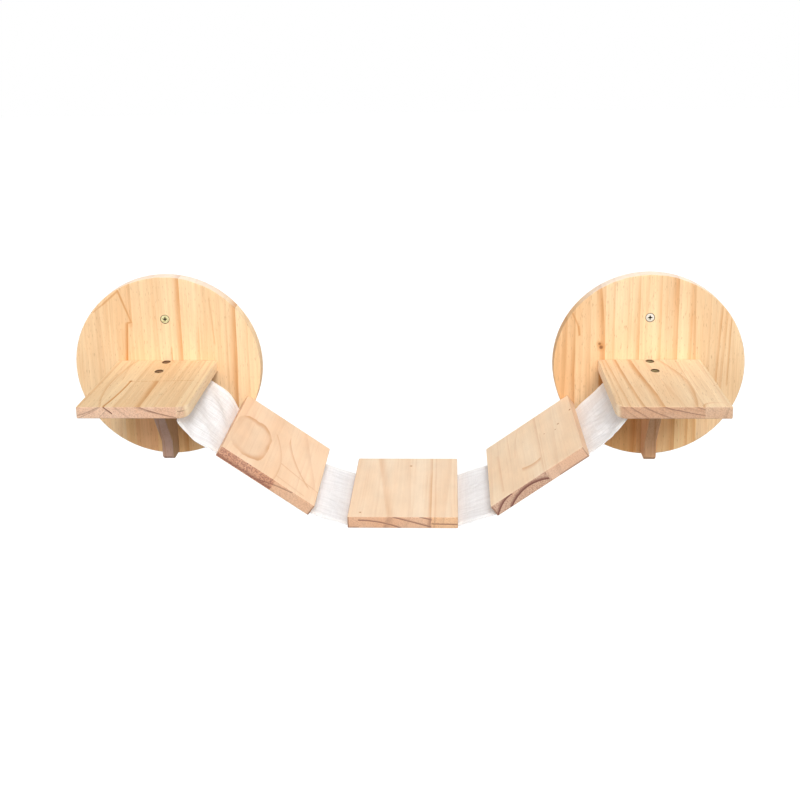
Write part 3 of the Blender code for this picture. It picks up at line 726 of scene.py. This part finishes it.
def cottonFinish():
    finish, tree = newFinish("whiteCotton")
    flatPlace = addNode(tree, "ShaderNodeUVMap", uv_map="clothMap").outputs["UV"]
    parts = addNode(tree, "ShaderNodeSeparateXYZ", {0: flatPlace}).outputs
    waver = grainNoise(tree, flatPlace, (40, 90, 1), 3.0, detail=2)
    turns = 2 * math.pi / cottonLook["thread"]
    lengthwise = reckon(tree, "SINE", timesPlus(tree, parts[1], turns, times(tree, waver, 9.0)))
    crosswise = reckon(tree, "SINE", timesPlus(tree, parts[0], turns * 0.9, times(tree, waver, 7.0)))
    # over and under: each thread rises where the other dips
    weave = timesPlus(tree, lengthwise, crosswise, reckon(tree, "ABSOLUTE", lengthwise))
    slubs = grainNoise(tree, flatPlace, (18, 520, 1), 11.0, detail=3, roughness=0.65)
    crossSlubs = grainNoise(tree, flatPlace, (420, 24, 1), 15.0, detail=2)
    slubby = timesPlus(tree, crossSlubs, 0.6, slubs)
    streak = remap(tree, slubby, 0.62, 0.98, 0.0, cottonLook["streak"])
    # painted shade in the dips of the weave
    weaveShade = remap(tree, weave, -0.6, 0.5, 0.30, 0.0, "LINEAR")
    share = reckon(tree, "MINIMUM", reckon(tree, "ADD", streak, weaveShade), 1.0)
    colour = blendColours(tree, share, cottonLook["white"], cottonLook["shade"])
    middle = (strip["back"] - strip["front"]) / 2 * mm
    fromMiddle = reckon(tree, "ABSOLUTE", minus(tree, parts[1], middle))
    inHem = remap(tree, fromMiddle, middle - (strip["hem"] + 0.3) * mm, middle - (strip["hem"] - 0.3) * mm)
    colour = blendColours(tree, inHem, colour, cottonLook["hem"])
    # long creases: narrow valleys where the cloth has been pulled
    folded = grainNoise(tree, flatPlace, (9, 85, 1), 21.0, detail=2)
    valley = reckon(tree, "ABSOLUTE", timesPlus(tree, folded, 2.0, -1.0))
    crease = remap(tree, valley, 0.0, 0.16, 0.0, 1.0)
    # painted shade in the crease valleys
    colour = blendColours(tree, remap(tree, crease, 0.0, 1.0, 0.22, 0.0), colour, cottonLook["shade"])
    threads = bumpOf(tree, 0.35, cottonLook["threadDepth"], timesPlus(tree, slubs, 1.5, weave))
    return setLooks(finish, {
        "Base Color": colour,
        "Normal": bumpOf(tree, 0.32, cottonLook["creaseDepth"], crease, under=threads),
        "Roughness": 0.92,
        "Sheen Weight": 0.25,
        "Sheen Roughness": 0.5,
        "Specular IOR Level": 0.2})


def seenDirectly(tree):
    # 1 for what the camera sees, also in reflections and through glass
    path = addNode(tree, "ShaderNodeLightPath").outputs
    direct = larger(tree, path["Is Camera Ray"], path["Is Glossy Ray"])
    return larger(tree, direct, path["Is Transmission Ray"])


def newPiece(name, mesh, finish):
    piece = bpy.data.objects.new(name, mesh)
    bpy.context.scene.collection.objects.link(piece)
    piece.data.materials.append(finish)
    return piece


# the studio: where the camera stands and how soft the light is
studio = {
    "cameraPlace": (0.076208, -1.370597, 0.569771),
    "cameraTurn": (-0.0363, 0.1838, -0.0160),   # to the side, down, and about its own line of sight
    "lens": 40.507,
    "shift": (-0.025, -0.2875),
    "worldLight": 0.30,
    "lamps": {
        "keyLamp": {"from": (0.14, -1.0, 0.95), "power": 2.4, "softness": 28},
        "rightLamp": {"from": (1.0, -0.45, 0.35), "power": 0.6, "softness": 60},
        "leftLamp": {"from": (-1.0, -0.45, 0.25), "power": 0.85, "softness": 60},
        "backLamp": {"from": (0.25, 1.0, 0.15), "power": 1.25, "softness": 60},
    },
    "floorHeight": -1.3,
    "floorSize": 14.0,
    "floorColour": (0.32, 0.318, 0.315),
    "floorLift": 0.80,
}


def addStudio(plan):
    scene = bpy.context.scene
    scene.view_settings.view_transform = "Standard"
    side, down, tilt = plan["cameraTurn"]
    lensData = bpy.data.cameras.new("studioCamera")
    lensData.sensor_width = 36
    lensData.lens = plan["lens"]
    lensData.shift_x, lensData.shift_y = plan["shift"]
    lensData.clip_start, lensData.clip_end = 0.05, 60
    camera = bpy.data.objects.new("studioCamera", lensData)
    scene.collection.objects.link(camera)
    camera.matrix_world = (Matrix.Translation(plan["cameraPlace"]) @ Matrix.Rotation(-side, 4, "Z")
                           @ Matrix.Rotation(math.pi / 2 - down, 4, "X") @ Matrix.Rotation(tilt, 4, "Z"))
    scene.camera = camera
    for name, lamp in plan["lamps"].items():
        lampData = bpy.data.lights.new(name, "SUN")
        lampData.energy = lamp["power"]
        lampData.angle = math.radians(lamp["softness"])
        lampObject = bpy.data.objects.new(name, lampData)
        lampObject.location = lamp["from"]
        lampObject.rotation_euler = Vector(lamp["from"]).to_track_quat("Z", "Y").to_euler()
        scene.collection.objects.link(lampObject)
    world = bpy.data.worlds.new("studioWorld")
    scene.world = world
    world.use_nodes = True
    tree = world.node_tree
    tree.nodes.clear()
    level = remap(tree, seenDirectly(tree), 0.0, 1.0, plan["worldLight"], 1.0, "LINEAR")
    sky = addNode(tree, "ShaderNodeBackground", {"Color": (1, 1, 1, 1), "Strength": level})
    addNode(tree, "ShaderNodeOutputWorld", {"Surface": sky.outputs[0]})


def floorFinish():
    finish, tree = newFinish("studioFloor")
    return setLooks(finish, {
        "Base Color": (*studio["floorColour"], 1),
        "Roughness": 0.9,
        "Specular IOR Level": 0.0,
        "Emission Color": (1, 1, 1, 1),
        "Emission Strength": times(tree, seenDirectly(tree), studio["floorLift"])})


def addFloor():
    mesh = bpy.data.meshes.new("studioFloor")
    shape = bmesh.new()
    bmesh.ops.create_grid(shape, x_segments=1, y_segments=1, size=studio["floorSize"])
    bmesh.ops.translate(shape, verts=shape.verts, vec=(0, 0, studio["floorHeight"]))
    shape.to_mesh(mesh)
    shape.free()
    floor = newPiece("studioFloor", mesh, floorFinish())


addStudio(studio)
addFloor()
print("studio ready")

# the strip of cloth: width, how thick, and the folds where it passes under the boards (mm)
strip = {
    "back": -37.3, "front": -179.3,
    "thickness": 0.9,
    "hem": 6.0, "hemRise": 0.30,
    "stitchLine": 4.4, "stitchLength": 2.6, "stitchGap": 3.4, "stitchRise": 0.42, "stitchDip": 0.24,
    "cell": 2.0,
    "foldRadius": 2.5, "foldSteps": 8,
    "bendReach": 5,   # how far to each side of a fold the cloth bends
    "folds": {"shelf": (-321.592, -8.05), "stepTop": (-267.498, -64.245), "stepFoot": (-137.642, -157.719),
              "centre": (-80.0, -177.679)},
}

# each span's hang: how far its back and front edges rise or drop, its big waves and its small ones
spanForms = {
    "left_outer": {"edges": (7.5, -9.5), "early": 0.62,
                   "wave": (1.6, 2.5, 0.45), "small": (0.45, 7.0, 0.9), "seed": 2.0},
    "left_inner": {"edges": (1.2, -1.0),
                   "wave": (0.6, 2.0, 0.30), "small": (0.35, 8.0, 0.2), "seed": 5.0},
    "right_inner": {"edges": (-0.8, 1.0),
                    "wave": (0.6, 2.0, 0.20), "small": (0.35, 8.0, -0.3), "seed": 9.0},
    "right_outer": {"edges": (0.6, -5.0),
                    "wave": (0.9, 2.5, 0.30), "small": (0.45, 9.0, -0.5), "seed": 14.0},
}

# the four lengths of cloth: their route over the folds (mm), the span that each stretch is, if it
# hangs free, the solids that each stands for, the bodies that it goes with, the corner of its route
# between them, and the boards that it rests on
outerRoute = [(-355.2, -8.05), "shelf", "stepTop", (-204.6, -109.52)]
innerRoute = [(-204.6, -109.52), "stepFoot", "centre", (0.3, -177.679)]
clothPieces = {
    "cloth_left_outer": {"route": outerRoute, "side": 1, "spans": [None, "left_outer", None],
                         "stands": ["left_cloth_tail", "left_outer_cloth"],
                         "bodies": ("stations", "left_arm"), "bendAt": 1,
                         "on": ["left_shelf", "left_step"]},
    "cloth_left_inner": {"route": innerRoute, "side": 1, "spans": [None, "left_inner", None],
                         "stands": ["left_step_cloth", "left_inner_cloth"],
                         "bodies": ("left_arm", "centre"), "bendAt": 1,
                         "on": ["left_step", "centre_step"]},
    "cloth_right_inner": {"route": [(-0.3, -177.679), "centre", "stepFoot"], "side": -1,
                          "spans": [None, "right_inner"],
                          "stands": ["centre_step_cloth", "right_inner_cloth"], "bodies": ("centre",),
                          "on": ["centre_step", "right_step"]},
    "cloth_right_outer": {"route": [(-355.2, -8.05), "shelf", "stepTop", "stepFoot"], "side": -1,
                          "spans": [None, "right_outer", None],
                          "stands": ["right_cloth_tail", "right_outer_cloth", "right_step_cloth"],
                          "bodies": ("stations", "right_arm"), "bendAt": 1,
                          "on": ["right_shelf", "right_step"]},
}


def routePoints(plan):
    points = []
    for point in plan["route"]:
        x, z = strip["folds"][point] if isinstance(point, str) else point
        points.append(Vector((plan["side"] * x, 0, z)) * mm)
    return points


def roundedRoute(points, radius):
    # the route as a trail of places, with each fold rounded
    trail = [points[0].copy()]
    for before, fold, after in zip(points, points[1:], points[2:]):
        inward, outward = (before - fold).normalized(), (after - fold).normalized()
        reach = radius * math.tan((math.pi - inward.angle(outward)) / 2)
        for step in range(strip["foldSteps"] + 1):
            share = step / strip["foldSteps"]
            trail.append(fold + inward * reach * (1 - share) ** 2 + outward * reach * share ** 2)
    trail.append(points[-1].copy())
    return trail


def walk(trail):
    lengths = [0.0]
    for here, there in zip(trail, trail[1:]):
        lengths.append(lengths[-1] + (there - here).length)
    return lengths


def placeOn(trail, lengths, distance):
    # the place and the direction at a distance along the trail
    distance = min(max(distance, 0.0), lengths[-1])
    index = next(k for k in range(1, len(lengths)) if distance <= lengths[k])
    span = max(lengths[index] - lengths[index - 1], 1e-9)
    share = (distance - lengths[index - 1]) / span
    direction = (trail[index] - trail[index - 1]).normalized()
    return trail[index - 1].lerp(trail[index], share), direction


def spanRise(form, run, across):
    # how far the hanging cloth stands off the straight line between its two folds
    hang = math.sin(math.pi * run)
    backEdge, frontEdge = form["edges"]
    depth, count, lean = form["wave"]
    fineDepth, fineCount, fineLean = form["small"]
    # early: the front edge hangs lowest nearer its upper end
    early = math.sin(math.pi * run ** form.get("early", 1.0)) / max(hang, 0.2)
    rise = backEdge * (1 - across) + frontEdge * across * early
    rise += depth * math.sin(2 * math.pi * count * (across - lean * run))
    # small waves, which come and go
    drift = noise.noise(Vector((run * 2.0, across * 3.0, form["seed"])))
    fine = math.sin(2 * math.pi * (fineCount * (across - fineLean * run * 0.35) + drift * 1.2))
    patch = noise.noise(Vector((run * 3.0 + 7.0, across * 5.0, form["seed"] + 3.0)))
    rise += fineDepth * fine * (0.7 + 0.9 * patch)
    # creases along the span, which end at the folds
    crease = noise.noise(Vector((run * 4.0, across * 26.0, form["seed"] + 8.0)))
    return (hang * rise + 0.35 * crease * min(1.0, 6 * run, 6 * (1 - run))) * mm


def clothRows():
    # rows across the strip: close together at the hems, even in between (mm from the back edge)
    width = strip["back"] - strip["front"]
    edge = [0, 0.25, 0.7, 1.4, 2.6, 3.6, 4.1, 4.4, 4.7, 5.2, 5.7, 6.0, 6.25, 6.8]
    inner = width - 2 * edge[-1]
    count = round(inner / strip["cell"])
    middle = [edge[-1] + inner * (k + 1) / count for k in range(count - 1)]
    return edge + middle + [width - e for e in reversed(edge)]


def hemRise(fromEdge):
    # the folded hem is thicker, dips at its stitches and steps down at its inner side
    fold = strip["hemRise"] * min(1.0, max(0.0, (strip["hem"] + 0.25 - fromEdge) / 0.4))
    stitch = strip["stitchDip"] * max(0.0, 1 - abs(fromEdge - strip["stitchLine"]) / 0.45)
    return (fold - stitch) * mm


def stitchAt(shape, place, direction, normal):
    made = bmesh.ops.create_uvsphere(shape, u_segments=6, v_segments=4, radius=1.0)
    side = normal.cross(direction)
    turn = Matrix((direction, side, normal)).transposed().to_4x4()
    size = Matrix.Diagonal((strip["stitchLength"] / 2 * mm, 0.30 * mm, 0.26 * mm, 1))
    bmesh.ops.transform(shape, matrix=Matrix.Translation(place) @ turn @ size, verts=made["verts"])


def makeSeam(name, surface, total, width, finish):
    # a row of stitches along each hem, on both faces of the cloth
    stitches = bmesh.new()
    for edge in (strip["stitchLine"], width - strip["stitchLine"]):
        for step in range(int(total / (strip["stitchGap"] * mm))):
            distance = (step + 0.5) * strip["stitchGap"] * mm
            spot, direction, normal = surface(distance, edge)
            ahead = surface(min(distance + 0.5 * mm, total), edge)[0]
            run = (ahead - spot).normalized() if (ahead - spot).length > 1e-6 else direction
            normal = (normal - run * normal.dot(run)).normalized()
            for face in (1, -1):
                stitchAt(stitches, spot + normal * face * strip["stitchRise"] * mm, run, normal)
    for face in stitches.faces:
        face.smooth = True
    mesh = bpy.data.meshes.new(name)
    stitches.to_mesh(mesh)
    stitches.free()
    return newPiece(name, mesh, finish)


def moveWith(piece, plan):
    # cloth between two bodies keeps its place and rides on neither, and other cloth rides on its one body
    if len(plan["bodies"]) == 2:
        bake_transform(piece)
    else:
        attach(piece, plan["bodies"][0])


def makeCloth(name, plan, clothLook, seamLook):
    points = routePoints(plan)
    trail = roundedRoute(points, strip["foldRadius"] * mm)
    lengths = walk(trail)
    folds = []   # distance along the route of every corner
    for point in points:
        nearest = min(range(len(trail)), key=lambda k: (trail[k] - point).length)
        folds.append(lengths[nearest])
    total = lengths[-1]
    rows = clothRows()
    width = rows[-1]
    columns = round(total / (strip["cell"] * mm))

    def surface(distance, across):
        place, direction = placeOn(trail, lengths, distance)
        normal = Vector((-direction.z, 0, direction.x)) * plan["side"]
        rise = 0.0
        for span, start, end in zip(plan["spans"], folds, folds[1:]):
            if span and start < distance < end:
                run = (distance - start) / (end - start)
                rise = spanRise(spanForms[span], run, across / width)
        rise += hemRise(min(across, width - across))
        spot = place + normal * rise
        spot.y = (strip["back"] - across) * mm
        return spot, direction, normal

    shape = bmesh.new()
    bmesh.ops.create_grid(shape, x_segments=columns, y_segments=len(rows) - 1, size=1.0)
    flatMap = shape.loops.layers.uv.new("clothMap")
    flatPlaces = {}
    for corner in shape.verts:
        distance = (corner.co.x + 1) / 2 * total
        across = rows[round((corner.co.y + 1) / 2 * (len(rows) - 1))]
        flatPlaces[corner] = (distance, across * mm)
        corner.co = surface(distance, across)[0]
    for face in shape.faces:
        for loop in face.loops:
            loop[flatMap].uv = flatPlaces[loop.vert]
        face.smooth = True
    mesh = bpy.data.meshes.new(name)
    bmesh.ops.recalc_face_normals(shape, faces=shape.faces)
    if sum(face.normal.z for face in shape.faces) < 0:
        bmesh.ops.reverse_faces(shape, faces=shape.faces)
    shape.to_mesh(mesh)
    shape.free()
    cloth = newPiece(name, mesh, clothLook)
    wall = cloth.modifiers.new("clothThickness", "SOLIDIFY")
    wall.thickness = strip["thickness"] * mm
    wall.offset = 0
    seam = makeSeam(name + "_stitches", surface, total, width, seamLook)
    for piece in (cloth, seam):
        moveWith(piece, plan)
    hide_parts(*plan["stands"])


threadLook = {"light": (0.93, 0.92, 0.91, 1), "dark": (0.80, 0.78, 0.78, 1)}


def threadFinish():
    finish, tree = newFinish("whiteThread")
    coordinates = addNode(tree, "ShaderNodeTexCoord").outputs["Object"]
    twist = grainNoise(tree, coordinates, (3000, 3000, 3000), 2.0, detail=1)
    colour = blendColours(tree, twist, threadLook["light"], threadLook["dark"])
    return setLooks(finish, {"Base Color": colour, "Roughness": 0.8})


cotton, thread = cottonFinish(), threadFinish()
for clothName, clothPlan in clothPieces.items():
    makeCloth(clothName, clothPlan, cotton, thread)
print("cloth hung")

# the corners of each board and screw head catch the light softly, as sanded and rolled edges do
softEdges = {"weld": 0.02 * mm, "sharpFrom": math.radians(60), "weight": 80}


def softShading():
    group = bpy.data.node_groups.new("softShading", "GeometryNodeTree")
    group.interface.new_socket("Geometry", in_out="INPUT", socket_type="NodeSocketGeometry")
    group.interface.new_socket("Geometry", in_out="OUTPUT", socket_type="NodeSocketGeometry")
    start, finish = addNode(group, "NodeGroupInput"), addNode(group, "NodeGroupOutput")
    smooth = addNode(group, "GeometryNodeSetShadeSmooth", {"Geometry": start.outputs[0]}, domain="FACE")
    angle = addNode(group, "GeometryNodeInputMeshEdgeAngle").outputs["Unsigned Angle"]
    inputs = {0: angle, 1: softEdges["sharpFrom"]}
    steep = addNode(group, "FunctionNodeCompare", inputs, operation="GREATER_THAN")
    inputs = {"Geometry": smooth.outputs[0], "Selection": steep.outputs[0], "Shade Smooth": False}
    sharp = addNode(group, "GeometryNodeSetShadeSmooth", inputs, domain="EDGE")
    feed(group, finish.inputs[0], sharp.outputs[0])
    return group


def softenEdges(piece, group):
    weld = piece.modifiers.new("joinedCorners", "WELD")
    weld.merge_threshold = softEdges["weld"]
    piece.modifiers.new("softShading", "NODES").node_group = group
    even = piece.modifiers.new("evenFaces", "WEIGHTED_NORMAL")
    even.keep_sharp = True
    even.weight = softEdges["weight"]


greyZinc = metalFinish("greyZinc", metals["greyZinc"])
screwFinishes = {
    "left_wall_screw": metalFinish("leftWallZinc", metals["yellowZinc"], screwFaces["wall"]),
    "right_wall_screw": metalFinish("rightWallZinc", metals["whiteZinc"], screwFaces["wall"]),
    "left_shelf_screw": metalFinish("leftShelfZinc", metals["dullZinc"], screwFaces["shelf"]),
    "right_shelf_screw": metalFinish("rightShelfZinc", metals["yellowZinc"], screwFaces["shelf"]),
}
softGroup = softShading()
for nodeName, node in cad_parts.items():
    if node.hide_render:
        continue
    if nodeName in boards:
        wanted = pineFinish(nodeName, boards[nodeName])
    else:
        wanted = next((f for start, f in screwFinishes.items() if nodeName.startswith(start)), greyZinc)
    node.data.materials.clear()
    node.data.materials.append(wanted)
    softenEdges(node, softGroup)
print("finishes set")
